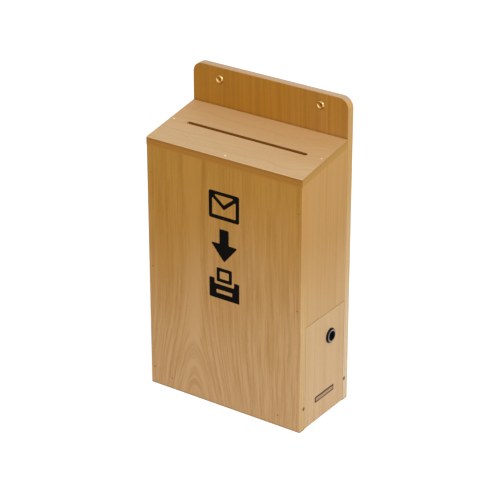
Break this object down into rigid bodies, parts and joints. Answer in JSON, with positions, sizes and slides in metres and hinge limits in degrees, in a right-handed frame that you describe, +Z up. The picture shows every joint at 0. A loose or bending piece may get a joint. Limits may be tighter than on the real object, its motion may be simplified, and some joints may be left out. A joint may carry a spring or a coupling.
{
  "type": "suggestion box",
  "caption": "Wooden suggestion box with a sloping slotted lid, a tall back board with brass hanging eyelets and a locking door in its right side.",
  "frame": {"origin": "middle of the base, on the surface that the box stands on", "axes": "+Z up, the front faces -Y and the wall side +Y, the door is on the +X side"},
  "size_m": [0.2536, 0.12, 0.45],
  "materials": {
    "front_wood": "satin lacquer",
    "back_wood": "satin lacquer",
    "side_wood": "satin lacquer",
    "door_wood": "satin lacquer",
    "lid_wood": "satin lacquer",
    "inner_wood": "bare",
    "brass": "polished",
    "tan_brad": "satin",
    "bright_brad": "satin",
    "dark_brad": "satin",
    "steel": "zinc plated",
    "plate": "brushed",
    "lock_head": "satin black",
    "lock_ring": "satin",
    "lock_plug": "satin black"
  },
  "bodies": {
    "case": {"front_panel": "front_wood", "back_board": "back_wood", "left_side_panel": "side_wood", "upper_side_panel": "side_wood", "lid": "lid_wood", "floor_board": "inner_wood", "tie_rail": "inner_wood", "stop_batten": "inner_wood", "hanging_eyelets": "brass", "front_brads": "tan_brad", "back_brads": "tan_brad", "lid_brads": "bright_brad", "left_side_brads": "tan_brad", "tie_rail_brads": "dark_brad", "stop_batten_brads": "steel", "pivot_pins": "steel"},
    "door": {"door": "door_wood", "blank_plate": "plate", "lock_housing": "lock_head", "lock_face_ring": "lock_ring", "lock_washer": "steel", "lock_nut": "steel"},
    "lock_plug": {"lock_plug": "lock_plug", "lock_cam": "steel", "cam_screw": "steel"}
  },
  "joints": [
    {"name": "door_swing", "type": "hinge", "parent": "case", "child": "door", "pos_m": [0.1215, 0, 0.008], "axis": [0, 1, 0], "range_deg": [0, 90]},
    {"name": "lock_turn", "type": "hinge", "parent": "door", "child": "lock_plug", "pos_m": [0.125, 0.013, 0.1185], "axis": [-1, 0, 0], "range_deg": [0, 90]}
  ]
}
